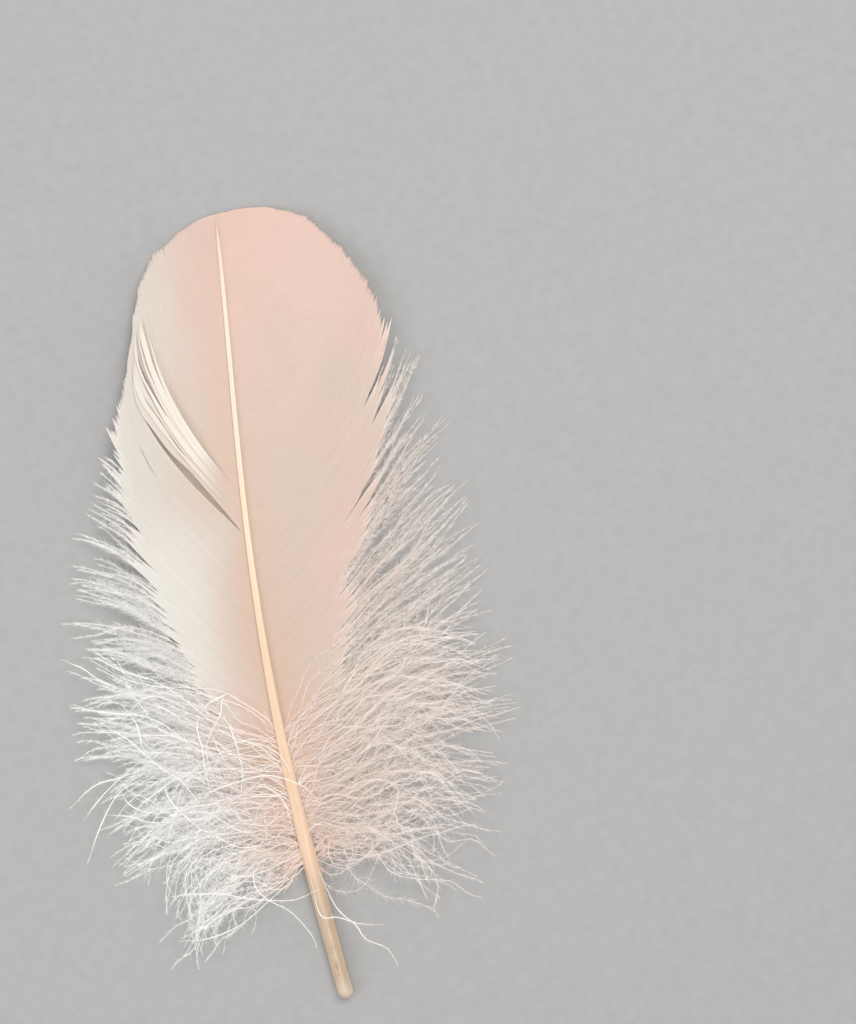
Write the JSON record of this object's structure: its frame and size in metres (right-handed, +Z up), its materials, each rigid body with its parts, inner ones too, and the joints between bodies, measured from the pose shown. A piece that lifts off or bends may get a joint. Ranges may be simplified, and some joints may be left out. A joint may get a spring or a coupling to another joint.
{
  "type": "goose feather",
  "caption": "White goose body feather with a bare quill, a tapering shaft, a broad rounded vane split on one side, loose barbs along the edges and fluffy down at the base.",
  "frame": {"origin": "middle of the feather seen from above, on the surface that it lies on", "axes": "+Y along the shaft from the quill towards the round end of the vane, +Z up out of the feather's outer side, +X towards the wider half of the vane"},
  "size_m": [0.0867, 0.161, 0.0104],
  "materials": {
    "feather": "matte"
  },
  "bodies": {
    "root": {"feather": "feather"}
  },
  "joints": []
}
